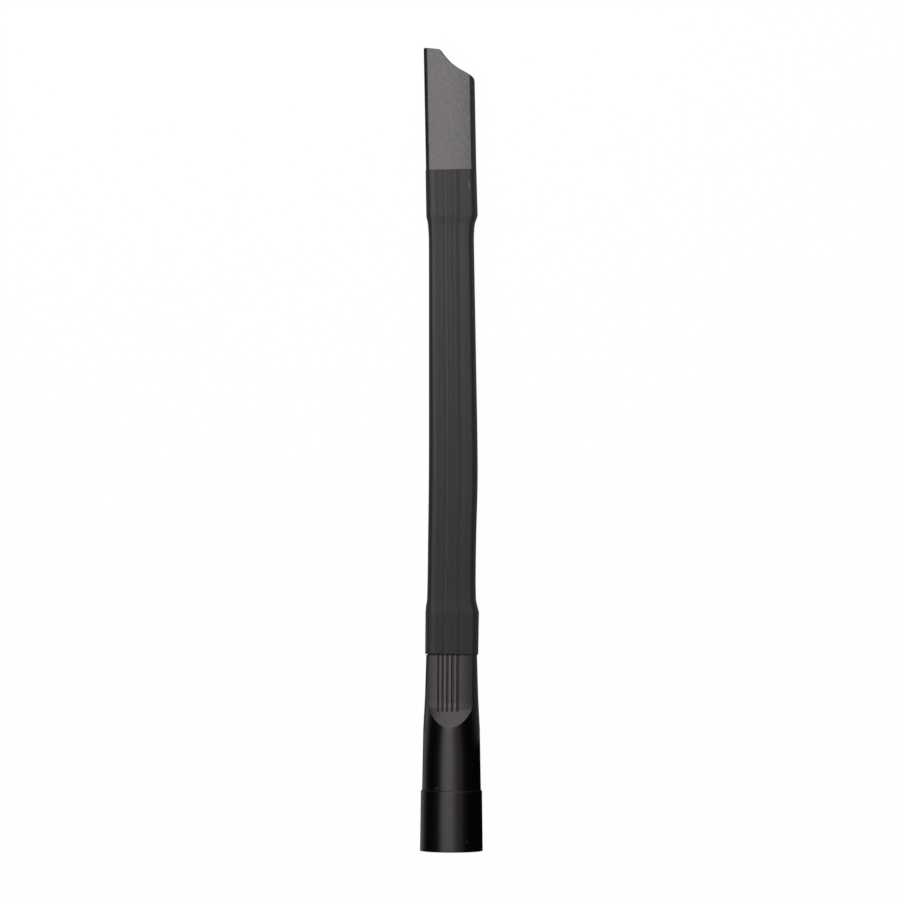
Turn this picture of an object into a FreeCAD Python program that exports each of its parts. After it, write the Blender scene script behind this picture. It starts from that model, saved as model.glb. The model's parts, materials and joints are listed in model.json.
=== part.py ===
import FreeCAD, Part
import math
import os
import re

import Sketcher
from FreeCAD import Placement, Rotation, Vector

# Flexible crevice tool: a round push-on socket, a soft flat tube and a flat nozzle tip.
# The tool lies on its back as it comes to rest. The origin is on the socket's axis where its straight
# wall begins, just inside the mouth. +Y runs along the tool to the tip, +X is to the right of the
# grooved face, and +Z is up.
# "Along" is a distance from the socket's mouth, measured on the tool's centreline.

# Driving dimensions in millimetres and degrees: name, value, meaning.
SIZES = (
    ("connector_length", 136.8, "socket mouth to the shoulder where the sleeve ends"),
    ("sleeve_length", 339.4, "end to end of the soft sleeve"),
    ("tip_length", 85.1, "sleeve end to the nozzle's furthest point"),
    ("bore_radius", 17.5, "socket for a 35 mm tube"),
    ("bore_length", 34, "straight wall of the socket"),
    ("bore_lead_in", 0.8, "chamfer at the socket's mouth"),
    ("tube_stop", 1, "ledge that the tube seats on"),
    ("collar_length", 42.2, "thick band around the socket"),
    ("collar_mouth_radius", 21.95, "outside of the band at the mouth"),
    ("collar_top_radius", 21.4, "outside of the band at its step"),
    ("collar_step", 0.8, "height of the step"),
    ("knee_along", 85.2, "where the cone begins to narrow faster"),
    ("knee_radius", 19.83, "outside there"),
    ("waist_along", 106.8, "where it narrows slowly again"),
    ("waist_radius", 18.65, "outside there"),
    ("shoulder_radius", 17.8, "round sides at the sleeve's end"),
    ("face_height", 9, "axis to the flat grip face at the shoulder"),
    ("face_slope", 2.9, "the face rises towards the socket"),
    ("heel_along", 100.1, "where the face turns up into its ramp"),
    ("ramp_slope", 33.5, "slope of the ramp"),
    ("heel_blend", 13, "radius between face and ramp"),
    ("groove_first", -8.7, "leftmost grip groove, from the axis"),
    ("groove_pitch", 3.05, "first to second groove"),
    ("groove_pitch_growth", 0.25, "each later gap is this much wider"),
    ("groove_width", 1.35, "leftmost groove"),
    ("groove_width_growth", 0.15, "each later groove is this much wider"),
    ("groove_depth", 1, "below the grip face"),
    ("groove_end_along", 103.3, "where the grooves leave their full depth"),
    ("groove_runout", 8.5, "radius in which a groove rises to its point"),
    ("face_wall", 2.6, "wall under the grip face"),
    ("side_wall", 3, "wall of the connector's round sides"),
    ("spigot_wall", 2, "wall of both spigots"),
    ("lower_spigot", 30, "spigot of the connector, inside the sleeve"),
    ("upper_spigot", 32.5, "spigot of the tip, inside the sleeve"),
    ("spigot_flare", 0.15, "a spigot grows by this much to its end and so holds the sleeve"),
    ("edge_round", 1.3, "rounding along the flat tube's edges"),
    ("fit_clearance", 0.05, "spigot to sleeve"),
    ("sleeve_wall", 1.8, "soft wall"),
    ("lower_proud", 0.8, "sleeve stands out from the connector"),
    ("upper_proud", 0.15, "sleeve stands out from the tip"),
    ("lower_neck", 24, "run in which the sleeve shrinks past the lower spigot"),
    ("upper_neck", 16, "the same past the upper spigot"),
    ("free_width_lower", 33.6, "bare sleeve above the lower neck"),
    ("free_width_bow", 34.15, "bare sleeve at its widest"),
    ("free_width_middle", 32.85, "bare sleeve past its middle"),
    ("free_width_upper", 31.4, "bare sleeve below the upper neck"),
    ("free_thickness", 17.2, "bare sleeve over its flats"),
    ("bow_along", 264.8, "furthest point of the sleeve's sideways bow"),
    ("bow", 1.05, "bow to the right there"),
    ("middle_along", 345.8, "a place past the sleeve's middle"),
    ("middle_bow", 0.55, "bow to the right there"),
    ("tip_width", 35.25, "over the nozzle's round sides"),
    ("tip_thickness", 18, "over its flats"),
    ("tip_wall", 2, "wall of the nozzle"),
    ("duct_widening", 8, "run in which the duct widens from the spigot to the nozzle"),
    ("tip_shift", -0.3, "nozzle's shoulder to the side of the socket's axis"),
    ("tip_lean", 0.98, "nozzle leans to the left"),
    ("point_across", 11.8, "width of the nozzle's point"),
    ("point_drop", 1.3, "fall of its end over that width"),
    ("sweep_steep", 59, "slope of the S-shaped mouth where it leaves the point"),
    ("sweep_shallow", 28.5, "slope at its turn, from the hollow part to the rounded part"),
    ("sweep_corner", 35.2, "slope where its corner begins"),
    ("sweep_end", 75, "slope where it meets the short side"),
    ("sweep_turn_in", 7.5, "short side to the turn"),
    ("sweep_round", 52, "radius of the rounded part"),
    ("sweep_corner_round", 4.9, "radius of the corner"),
    ("point_round", 2, "outer corner of the point"),
    ("point_inner_round", 0.8, "inner corner of the point"),
    ("rim_round", 0.5, "rounding of the nozzle's rim"),
    ("sleeve_end_round", 0.4, "rounding of the sleeve's ends"),
    ("collar_round", 0.4, "rounding of the collar's edges"),
    ("lip_round", 0.35, "rounding of the grip face's outline"),
)
GROOVES = 5
OUTSIDE = 3  # how far a cutting outline stands outside the solid

doc = FreeCAD.newDocument("flexible_crevice_tool")
sheet = doc.addObject("Spreadsheet::Sheet", "size")
for row, (alias, number, meaning) in enumerate(SIZES, 1):
    sheet.set(f"A{row}", meaning)
    sheet.set(f"B{row}", str(number))
    sheet.setAlias(f"B{row}", alias)
doc.recompute()
ALIASES = {alias for alias, number, meaning in SIZES}


def bound(text):
    """An expression of the sheet's names, as other objects of the document write it."""
    return re.sub(r"[a-z_]+", lambda word: f"size.{word[0]}" if word[0] in ALIASES else word[0], str(text))


def value(text):
    """The number that such an expression gives."""
    return float(sheet.evalExpression(str(text)))


def grown(section, extra):
    """A section of the flat tube moved outwards all round."""
    return tuple(f"({part} + {extra})" for part in section)


def inside(section, proud):
    """The spigot that fits in a sleeve which stands out from the section by so much."""
    return grown(section[:2], f"{proud} - sleeve_wall - fit_clearance") + ("edge_round",)


# Sections of the flat tube, as expressions: (half width, half thickness, edge radius).
SHOULDER = ("shoulder_radius", "face_height", "edge_round")
TIP = ("tip_width / 2", "tip_thickness / 2", "edge_round")
LOWER_SPIGOT = inside(SHOULDER, "lower_proud")
UPPER_SPIGOT = inside(TIP, "upper_proud")
LOWER_SPIGOT_END = grown(LOWER_SPIGOT, "spigot_flare")
UPPER_SPIGOT_END = grown(UPPER_SPIGOT, "spigot_flare")

TIP_ALONG = value("connector_length + sleeve_length")
LOWER_END = value("connector_length + lower_spigot")
UPPER_END = TIP_ALONG - value("upper_spigot")
FREE_RUN = UPPER_END - LOWER_END

# The upper cuff lies flat on the floor and the thicker connector touches it too, at its rim, step or knee.
# So the connector's axis falls towards the tip, and the bare sleeve bends evenly by the same small angle.
CUFF_HEIGHT = value(f"{UPPER_SPIGOT_END[1]} + fit_clearance + sleeve_wall")
UNDERSIDE = (
    ("collar_mouth_radius", "0"),
    ("collar_top_radius", "collar_length"),
    ("knee_radius", "knee_along"),
)
BEND = max(
    (value(radius) - CUFF_HEIGHT) / (LOWER_END - value(along) + FREE_RUN / 2)
    for radius, along in UNDERSIDE
)


def heading(point, down=0, left=0):
    """A place on the centreline that faces along the tool, turned down and to the left in degrees."""
    return Placement(point, Rotation(Vector(0, 0, 1), left) * Rotation(Vector(1, 0, 0), -down))


def slope_at(along):
    """Degrees by which the centreline falls towards the tip."""
    return math.degrees(BEND) * min(max(1 - (along - LOWER_END) / FREE_RUN, 0), 1)


def centreline(along, aside=0):
    """The place on the tool's centreline, and aside of it, at a distance from the socket's mouth."""
    slope = math.radians(slope_at(along))
    straight = min(along, LOWER_END) - value("bore_lead_in")
    arc = FREE_RUN / BEND
    flat = max(along - UPPER_END, 0)
    forward = straight * math.cos(BEND) + arc * (math.sin(BEND) - math.sin(slope)) + flat
    height = -straight * math.sin(BEND) - arc * (math.cos(slope) - math.cos(BEND))
    return heading(Vector(aside, forward, height), slope_at(along))


TIP_PLACE = heading(centreline(TIP_ALONG, value("tip_shift")).Base, 0, value("tip_lean"))


def along_tip(distance):
    """A place on the tip's own axis, from its shoulder."""
    return TIP_PLACE.multiply(Placement(Vector(0, distance, 0), Rotation()))


def new_body(name):
    body = doc.addObject("PartDesign::Body", name)
    body.Label = name
    return body


def plane(body, role):
    """One of the body's own origin planes or axes."""
    return next(feature for feature in body.Origin.OriginFeatures if feature.Role == role)


def new_sketch(body, role, name, place=None):
    """A sketch on an origin plane, or in that plane carried to a place."""
    sketch = body.newObject("Sketcher::SketchObject", name)
    base = plane(body, role)
    sketch.AttachmentSupport = (base, [""])
    sketch.MapMode = "FlatFace"
    if place:
        sketch.AttachmentOffset = base.Placement.inverse().multiply(place).multiply(base.Placement)
    sketch.Visibility = False
    return sketch


def fix(sketch, kind, *where, size=None):
    """Adds a constraint, and binds its size to the sheet."""
    if size is None:
        sketch.addConstraint(Sketcher.Constraint(kind, *where))
        return
    index = sketch.addConstraint(Sketcher.Constraint(kind, *where, value(size)))
    sketch.setExpression(f"Constraints[{index}]", bound(size))


def outline(sketch, corners, closed=True):
    """A line through corners (across, up). A third item is the radius of an arc to the next corner.

    The arc bulges to the right of the line's way, or to the left where its radius is negative."""
    points = [Vector(value(corner[0]), value(corner[1]), 0) for corner in corners]
    count = len(corners) if closed else len(corners) - 1
    ends = []
    for index in range(count):
        start, finish = points[index], points[(index + 1) % len(points)]
        if len(corners[index]) == 2:
            edge = sketch.addGeometry(Part.LineSegment(start, finish))
            ends.append((edge, 1, 2))
            continue
        radius = value(corners[index][2])
        chord = finish - start
        right = Vector(chord.y, -chord.x, 0).normalize()
        rise = abs(radius) - math.sqrt(max(radius**2 - (chord.Length / 2) ** 2, 0))
        middle = (start + finish) / 2 + right * math.copysign(rise, radius)
        edge = sketch.addGeometry(Part.Arc(start, middle, finish))
        ends.append((edge, 1, 2) if radius > 0 else (edge, 2, 1))
        fix(sketch, "Radius", edge, size=f"abs({corners[index][2]})")
    for index, (edge, first, last) in enumerate(ends):
        fix(sketch, "DistanceX", -1, 1, edge, first, size=corners[index][0])
        fix(sketch, "DistanceY", -1, 1, edge, first, size=corners[index][1])
        if closed or index < count - 1:
            follower, follower_first, _ = ends[(index + 1) % count]
            fix(sketch, "Coincident", edge, last, follower, follower_first)
        else:
            fix(sketch, "DistanceX", -1, 1, edge, last, size=corners[-1][0])
            fix(sketch, "DistanceY", -1, 1, edge, last, size=corners[-1][1])


def flat_section(body, name, place, section):
    """Section of the flat tube: a circle cut flat above and below, with its four edges rounded."""
    sketch = new_sketch(body, "XZ_Plane", name, place)
    half_width, half_thickness, edge = (value(part) for part in section)
    middle_x = math.sqrt((half_width - edge) ** 2 - (half_thickness - edge) ** 2)
    middle_y = half_thickness - edge
    turn = math.atan2(middle_y, middle_x)
    quarter = math.pi / 2
    around = (
        ((0, 0), half_width, -turn, turn),
        ((middle_x, middle_y), edge, turn, quarter),
        None,
        ((-middle_x, middle_y), edge, quarter, 2 * quarter - turn),
        ((0, 0), half_width, 2 * quarter - turn, 2 * quarter + turn),
        ((-middle_x, -middle_y), edge, 2 * quarter + turn, 3 * quarter),
        None,
        ((middle_x, -middle_y), edge, 3 * quarter, 4 * quarter - turn),
    )
    for index, arc in enumerate(around):
        if arc:
            (x, y), radius, start, finish = arc
            circle = Part.Circle(Vector(x, y, 0), Vector(0, 0, 1), radius)
            sketch.addGeometry(Part.ArcOfCircle(circle, start, finish))
        else:
            side = 1 if index == 2 else -1
            start = Vector(side * middle_x, side * half_thickness, 0)
            sketch.addGeometry(Part.LineSegment(start, Vector(-start.x, start.y, 0)))
    for index in range(len(around)):
        fix(sketch, "Tangent", index, 2, (index + 1) % len(around), 1)
    for side in (0, 4):
        fix(sketch, "Coincident", side, 3, -1, 1)
        fix(sketch, "Radius", side, size=section[0])
    for corner in (1, 3, 5, 7):
        fix(sketch, "Radius", corner, size=section[2])
    for flat, sign in ((2, ""), (6, "-")):
        fix(sketch, "Horizontal", flat)
        fix(sketch, "DistanceY", -1, 1, flat, 1, size=f"{sign}({section[1]})")
    return sketch


def loft(body, kind, name, stations, ruled=True):
    """Adds or cuts the flat tube through its sections, each (place, section)."""
    sketches = [
        flat_section(body, f"{name}_section_{index}", place, section)
        for index, (place, section) in enumerate(stations)
    ]
    feature = body.newObject(f"PartDesign::{kind}", name)
    feature.Profile = sketches[0]
    feature.Sections = [(sketch, [""]) for sketch in sketches[1:]]
    feature.Ruled = ruled
    feature.Refine = False
    return feature


def turned(body, kind, name, corners):
    """Adds or cuts a solid of revolution about the tool's axis. Corners are (radius, along)."""
    sketch = new_sketch(body, "XY_Plane", f"{name}_profile")
    outline(sketch, corners)
    feature = body.newObject(f"PartDesign::{kind}", name)
    feature.Profile = sketch
    feature.ReferenceAxis = (plane(body, "Y_Axis"), [""])
    feature.Angle = 360
    return feature


def pocket(body, name, sketch):
    """Cuts the sketch's outline right through, both ways."""
    feature = body.newObject("PartDesign::Pocket", name)
    feature.Profile = sketch
    feature.Type = 1
    feature.Midplane = True
    return feature


def round_edges(body, name, size, chosen):
    """Rounds the edges of the body that the test picks by a point half way along each."""
    doc.recompute()
    base = body.Tip
    picked = []
    for index, edge in enumerate(base.Shape.Edges, 1):
        halfway = edge.valueAt((edge.FirstParameter + edge.LastParameter) / 2)
        if chosen(halfway, edge):
            picked.append(f"Edge{index}")
    feature = body.newObject("PartDesign::Fillet", name)
    feature.Base = (base, picked)
    feature.setExpression("Radius", bound(size))
    return feature


def at(along):
    """A place on a body's own axis."""
    return Placement(Vector(0, value(along), 0), Rotation())


# Connector: one moulded piece. A turned outside is cut flat above and below into grip faces,
# each ending in a ramp, and carries a flat spigot for the sleeve.
connector = new_body("connector")
turned(
    connector,
    "Revolution",
    "socket_and_cone",
    [
        ("0", "0"),
        ("collar_mouth_radius", "0"),
        ("collar_top_radius", "collar_length"),
        ("collar_top_radius - collar_step", "collar_length"),
        ("knee_radius", "knee_along"),
        ("waist_radius", "waist_along"),
        ("shoulder_radius", "connector_length"),
        ("0", "connector_length"),
    ],
)


def face_level(along):
    """Height of the flat face above the axis, as an expression."""
    return f"(face_height + tan(face_slope) * (connector_length - {along}))"


HEEL_HEIGHT = face_level("heel_along")
RAMP_TOP = f"(max(collar_mouth_radius; knee_radius) + {OUTSIDE})"
RAMP_TOP_ALONG = f"heel_along - ({RAMP_TOP} - {HEEL_HEIGHT}) / tan(ramp_slope)"
FACE_END = f"face_height - tan(face_slope) * {OUTSIDE}"
for side, sign in (("front", ""), ("back", "-")):
    grip_outline = new_sketch(connector, "YZ_Plane", f"{side}_grip_outline")
    outline(
        grip_outline,
        [
            (f"connector_length + {OUTSIDE}", f"{sign}({FACE_END})"),
            ("heel_along", f"{sign}{HEEL_HEIGHT}"),
            (RAMP_TOP_ALONG, f"{sign}{RAMP_TOP}"),
            (f"connector_length + {OUTSIDE}", f"{sign}{RAMP_TOP}"),
        ],
    )
    pocket(connector, f"{side}_grip_face", grip_outline)

heel_along = value("heel_along")
round_edges(
    connector,
    "heel_blends",
    "heel_blend",
    lambda point, edge: abs(point.y - heel_along) < 0.01 and abs(point.x) < 0.01,
)
round_edges(
    connector,
    "grip_lips",
    "lip_round",
    lambda point, edge: abs(point.x) < 0.01
    and point.y < heel_along
    and edge.Curve.TypeId != "Part::GeomLine",
)


# Grip grooves: each is a round-bottomed cut that follows the face, then rises out of it to a point.
GROOVE_BOTTOM = 0.6  # bottom radius for each millimetre of width
GROOVE_CUT = 3  # height of the cut
RUNOUT_TURN = 70  # degrees through which the cut rises
groove_start = f"(connector_length + {OUTSIDE / 2})"
start_height = f"({face_level(groove_start)} - groove_depth)"
end_height = f"({face_level('groove_end_along')} - groove_depth)"
runout_along = f"groove_end_along + groove_runout * (sin(face_slope) - sin(face_slope + {RUNOUT_TURN}))"
runout_height = f"{end_height} + groove_runout * (cos(face_slope) - cos(face_slope + {RUNOUT_TURN}))"
across = value("groove_first")
for number in range(GROOVES):
    lane = Placement(Vector(across, 0, 0), Rotation())
    path = new_sketch(connector, "YZ_Plane", f"groove_path_{number}", lane)
    outline(
        path,
        [
            (groove_start, start_height),
            ("groove_end_along", end_height, "-groove_runout"),
            (runout_along, runout_height),
        ],
        closed=False,
    )
    place = heading(Vector(across, value(groove_start), value(start_height)), value("face_slope"))
    shape = new_sketch(connector, "XZ_Plane", f"groove_shape_{number}", place)
    width = f"(groove_width + {number} * groove_width_growth)"
    bottom = f"{GROOVE_BOTTOM} * {width}"
    shape_side = f"({bottom} - sqrt(({bottom})^2 - ({width} / 2)^2))"
    outline(
        shape,
        [
            (f"-{width} / 2", shape_side, bottom),
            (f"{width} / 2", shape_side),
            (f"{width} / 2", f"{GROOVE_CUT}"),
            (f"-{width} / 2", f"{GROOVE_CUT}"),
        ],
    )
    groove = connector.newObject("PartDesign::SubtractivePipe", f"grip_groove_{number}")
    groove.Profile = shape
    groove.Spine = (path, ["Edge1", "Edge2"])
    across += value(f"groove_pitch + {number} * groove_pitch_growth")

collar_end = value("collar_length") + 0.01
below_collar = value("collar_top_radius - collar_step / 2")
round_edges(
    connector,
    "collar_edges",
    "collar_round",
    lambda point, edge: point.y < collar_end
    and edge.Curve.TypeId == "Part::GeomCircle"
    and edge.Curve.Radius > below_collar,
)

bore_end = "(bore_lead_in + bore_length)"


def duct(section, wall="spigot_wall"):
    """The hollow inside a section of the flat tube."""
    return tuple(f"({part} - {wall})" for part in section[:2]) + ("edge_round",)


SLIVER = 0.17  # flats cut off by only this much leave a duct all but round
STOP_DUCT = ("(bore_radius - tube_stop)", f"(bore_radius - tube_stop - {SLIVER})", "edge_round")
KNEE_DUCT = ("(knee_radius - side_wall)", f"(knee_radius - side_wall - {SLIVER})", "edge_round")
HEEL_DUCT = ("(waist_radius - side_wall)", f"({face_level('heel_along')} - face_wall)", "edge_round")
loft(
    connector,
    "AdditiveLoft",
    "lower_spigot_tube",
    [
        (at("connector_length"), LOWER_SPIGOT),
        (at("connector_length + lower_spigot"), LOWER_SPIGOT_END),
    ],
)
turned(
    connector,
    "Groove",
    "socket_bore",
    [
        ("0", f"-{OUTSIDE}"),
        ("bore_radius + bore_lead_in", f"-{OUTSIDE}"),
        ("bore_radius + bore_lead_in", "0"),
        ("bore_radius", "bore_lead_in"),
        ("bore_radius", bore_end),
        ("0", bore_end),
    ],
)
loft(
    connector,
    "SubtractiveLoft",
    "connector_duct",
    [
        (at(bore_end), STOP_DUCT),
        (at("knee_along"), KNEE_DUCT),
        (at("heel_along"), HEEL_DUCT),
        (at("connector_length"), duct(LOWER_SPIGOT)),
        (at("connector_length + lower_spigot"), duct(LOWER_SPIGOT_END)),
    ],
)
connector.Placement = centreline(0)

# Nozzle tip: one moulded piece, a flat tube whose mouth is cut off in an S, on a spigot of its own.
nozzle_tip = new_body("nozzle_tip")
loft(nozzle_tip, "AdditiveLoft", "nozzle_tube", [(at("0"), TIP), (at("tip_length"), TIP)])
LONG_SIDE = "-tip_width / 2"
SHORT_SIDE = "tip_width / 2"
CLEAR = 0.3  # the point's corner arc starts this far outside the long side
HOLLOW_ACROSS = "(tip_width - point_across - sweep_turn_in)"
HOLLOW = f"({HOLLOW_ACROSS} / (sin(sweep_steep) - sin(sweep_shallow)))"
TURN_ALONG = f"(tip_length - point_drop - {HOLLOW} * (cos(sweep_shallow) - cos(sweep_steep)))"
CORNER_ACROSS = f"({SHORT_SIDE} - sweep_turn_in + sweep_round * (sin(sweep_corner) - sin(sweep_shallow)))"
CORNER_ALONG = f"({TURN_ALONG} - sweep_round * (cos(sweep_shallow) - cos(sweep_corner)))"
END_ACROSS = f"({CORNER_ACROSS} + sweep_corner_round * (sin(sweep_end) - sin(sweep_corner)))"
END_ALONG = f"({CORNER_ALONG} - sweep_corner_round * (cos(sweep_corner) - cos(sweep_end)))"
# Past its corner the cut runs on in a straight line, until it is clear of the short side.
OUTER_ACROSS = f"(max({SHORT_SIDE}; {END_ACROSS}) + {OUTSIDE})"
OUTER_ALONG = f"({END_ALONG} - ({OUTER_ACROSS} - {END_ACROSS}) * tan(sweep_end))"
mouth_outline = new_sketch(nozzle_tip, "XY_Plane", "mouth_outline")
outline(
    mouth_outline,
    [
        (f"{LONG_SIDE} - {CLEAR}", "tip_length - point_round", "-point_round"),
        (f"{LONG_SIDE} - {CLEAR} + point_round", "tip_length"),
        (f"{LONG_SIDE} + point_across", "tip_length - point_drop", HOLLOW),
        (f"{SHORT_SIDE} - sweep_turn_in", TURN_ALONG, "-sweep_round"),
        (CORNER_ACROSS, CORNER_ALONG, "-sweep_corner_round"),
        (END_ACROSS, END_ALONG),
        (OUTER_ACROSS, OUTER_ALONG),
        (OUTER_ACROSS, f"tip_length + {OUTSIDE}"),
        (f"{LONG_SIDE} - {CLEAR}", f"tip_length + {OUTSIDE}"),
    ],
)
pocket(nozzle_tip, "mouth_cut", mouth_outline)
inner_corner = Vector(value(f"{LONG_SIDE} + point_across"), value("tip_length - point_drop"), 0)
round_edges(
    nozzle_tip,
    "point_inner_corner",
    "point_inner_round",
    lambda point, edge: point.distanceToPoint(inner_corner) < 0.01,
)


def on_rim(point, edge):
    """Whether an edge lies along the nozzle's mouth, and not along the tube or through its thickness."""
    if point.y < value("tip_length / 2") or point.x < value(f"{LONG_SIDE} - {CLEAR} + point_round"):
        return False
    if edge.Curve.TypeId != "Part::GeomLine":
        return True
    return abs(edge.Curve.Direction.x) > 0.5


round_edges(nozzle_tip, "nozzle_rim", "rim_round", on_rim)
loft(
    nozzle_tip,
    "AdditiveLoft",
    "upper_spigot_tube",
    [(at("0"), UPPER_SPIGOT), (at("-upper_spigot"), UPPER_SPIGOT_END)],
)
loft(
    nozzle_tip,
    "SubtractiveLoft",
    "nozzle_duct",
    [
        (at("-upper_spigot"), duct(UPPER_SPIGOT_END)),
        (at("0"), duct(UPPER_SPIGOT)),
        (at("duct_widening"), duct(TIP, "tip_wall")),
        (at(f"tip_length + {OUTSIDE}"), duct(TIP, "tip_wall")),
    ],
)
nozzle_tip.Placement = TIP_PLACE

# Sleeve: one soft flat tube, stretched over both spigots, that shrinks past their ends to its own size.
flexible_sleeve = new_body("flexible_sleeve")
NECK = ((0.18, 0.41), (0.34, 0.73), (0.65, 0.93), (1, 1))  # share of its length, share of its shrinking
FREE_EDGE = "(edge_round + fit_clearance + sleeve_wall)"
LOWER_FREE = ("(free_width_lower / 2)", "(free_thickness / 2)", FREE_EDGE)
BOW_FREE = ("(free_width_bow / 2)", "(free_thickness / 2)", FREE_EDGE)
MIDDLE_FREE = ("(free_width_middle / 2)", "(free_thickness / 2)", FREE_EDGE)
UPPER_FREE = ("(free_width_upper / 2)", "(free_thickness / 2)", FREE_EDGE)


def blend(cuff, free, share):
    """A section part of the way from the stretched cuff to the bare sleeve."""
    return tuple(f"({a} + ({b} - {a}) * {share})" for a, b in zip(cuff, free))


def cuff(spigot):
    """Outside of the sleeve over a spigot."""
    return grown(spigot, "fit_clearance + sleeve_wall")


def neck(cuff_section, free_section, start, length, aside, left):
    """Stations of the sleeve from a spigot's end, with the sideways place and turn of that end."""
    for length_share, shrink_share in NECK:
        along = start + value(length) * length_share
        rest = 1 - length_share
        place = heading(centreline(along, aside * rest).Base, slope_at(along), left * rest)
        yield place, blend(cuff_section, free_section, shrink_share)


upper_end_place = along_tip(-value("upper_spigot"))
lower_cuff = [
    (centreline(value("connector_length")), cuff(LOWER_SPIGOT)),
    (centreline(LOWER_END), cuff(LOWER_SPIGOT_END)),
]
upper_cuff = [
    (upper_end_place, cuff(UPPER_SPIGOT_END)),
    (TIP_PLACE, cuff(UPPER_SPIGOT)),
]
lower_neck = list(neck(lower_cuff[1][1], LOWER_FREE, LOWER_END, "lower_neck", 0, 0))
upper_neck = list(
    neck(upper_cuff[0][1], UPPER_FREE, UPPER_END, "-upper_neck", upper_end_place.Base.x, value("tip_lean"))
)
free_run = [
    lower_cuff[1],
    *lower_neck,
    (centreline(value("bow_along"), value("bow")), BOW_FREE),
    (centreline(value("middle_along"), value("middle_bow")), MIDDLE_FREE),
    *reversed(upper_neck),
    upper_cuff[0],
]


def hollow(stations):
    """The same stations, one wall further in."""
    return [(place, grown(section, "-sleeve_wall")) for place, section in stations]


PARTS_OF_SLEEVE = (
    ("lower_cuff", lower_cuff, True),
    ("free_run", free_run, False),
    ("upper_cuff", upper_cuff, True),
)
for name, stations, ruled in PARTS_OF_SLEEVE:
    loft(flexible_sleeve, "AdditiveLoft", name, stations, ruled)
for name, stations, ruled in PARTS_OF_SLEEVE:
    loft(flexible_sleeve, "SubtractiveLoft", f"{name}_hollow", hollow(stations), ruled)


def on_outer_end(station):
    """A test for edges on the outside of the sleeve's end at a station."""
    place, section = station
    half_width, half_thickness, _ = (value(part) - value("sleeve_wall / 2") for part in section)

    def chosen(point, edge):
        across, ahead, up = place.inverse().multVec(point)
        return abs(ahead) < 0.001 and (abs(up) > half_thickness or math.hypot(across, up) > half_width)

    return chosen


for name, station in (("lower", lower_cuff[0]), ("upper", upper_cuff[1])):
    round_edges(flexible_sleeve, f"{name}_end_edges", "sleeve_end_round", on_outer_end(station))

doc.recompute()
faults = [obj.Name for obj in doc.Objects if {"Invalid", "Error"} & set(obj.State)]
if faults:
    raise RuntimeError(f"these objects did not build: {', '.join(faults)}")
os.makedirs("parts", exist_ok=True)
for body in (connector, flexible_sleeve, nozzle_tip):
    solid = body.Shape
    if solid.isNull() or not solid.isValid() or len(solid.Solids) != 1:
        raise RuntimeError(f"{body.Label} is not one valid solid")
    solid.exportStep(f"parts/{body.Label}.step")
    box = solid.BoundBox
    print(f"{body.Label}: {solid.Volume:.0f} mm3, x {box.XMin:.2f} to {box.XMax:.2f},")
    print(f"  y {box.YMin:.2f} to {box.YMax:.2f}, z {box.ZMin:.2f} to {box.ZMax:.2f}")
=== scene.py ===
# %% [markdown]
# A flexible crevice tool: a round push-on socket, a long soft sleeve and a flat nozzle tip.
# The frame brings the three solids in metres, lying on a table as the tool would come to rest.
# The two hard mouldings could be modelled again, but their solids already have the true form, so they
# keep them and get their finish here. The soft sleeve is modelled anew, because its solid lacks the fine
# lines that a die leaves and the small rounding of its edges.

# %% Load the frame
import bisect
import bpy
import json
import math
from mathutils import Matrix, Vector


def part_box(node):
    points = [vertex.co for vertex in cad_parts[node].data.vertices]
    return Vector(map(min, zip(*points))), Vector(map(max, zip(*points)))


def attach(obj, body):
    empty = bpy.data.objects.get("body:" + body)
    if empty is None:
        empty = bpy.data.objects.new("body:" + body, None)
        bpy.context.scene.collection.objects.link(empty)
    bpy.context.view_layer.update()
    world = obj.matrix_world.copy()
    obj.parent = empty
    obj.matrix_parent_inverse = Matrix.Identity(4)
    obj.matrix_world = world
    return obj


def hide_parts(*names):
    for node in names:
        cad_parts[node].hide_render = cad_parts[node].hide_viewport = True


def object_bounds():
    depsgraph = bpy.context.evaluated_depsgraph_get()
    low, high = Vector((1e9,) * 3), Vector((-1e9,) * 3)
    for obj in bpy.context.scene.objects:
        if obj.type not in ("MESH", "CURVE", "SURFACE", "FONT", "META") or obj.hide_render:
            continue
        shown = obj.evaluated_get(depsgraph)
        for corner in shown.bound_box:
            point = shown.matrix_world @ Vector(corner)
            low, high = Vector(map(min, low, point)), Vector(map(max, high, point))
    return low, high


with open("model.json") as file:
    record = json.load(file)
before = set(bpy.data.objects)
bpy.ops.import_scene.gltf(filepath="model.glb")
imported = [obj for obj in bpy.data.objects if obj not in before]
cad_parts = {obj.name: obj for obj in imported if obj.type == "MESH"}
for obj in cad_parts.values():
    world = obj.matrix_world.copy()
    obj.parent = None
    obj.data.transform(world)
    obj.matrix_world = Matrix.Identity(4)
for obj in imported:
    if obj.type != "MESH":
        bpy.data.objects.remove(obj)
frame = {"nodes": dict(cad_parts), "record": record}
cad_low, cad_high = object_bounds()
MM = 0.001  # the scene is in metres, and a length times this is given in mm
print("the object's box in mm:", [round(side / MM, 1) for side in cad_high - cad_low])

# %% [markdown]
# The picture looks straight down on the tool, from so far away that its sides hardly converge. An
# orthographic camera would lose even that little, so a long lens is used. The camera stands a little to
# the tool's right, because the right flank shows wider than the left one, and it looks at right angles
# to the line from the socket to the tip.

# %% Place of the camera
FIELD = 630 * MM  # length that fills the picture at the tool's middle
FAR = 3.2  # from camera to tool
ROLL = math.radians(4)  # towards the tool's right side
MIDDLE = Vector((-1.3, 279.05, -12)) * MM  # the point in the picture's centre

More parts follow.
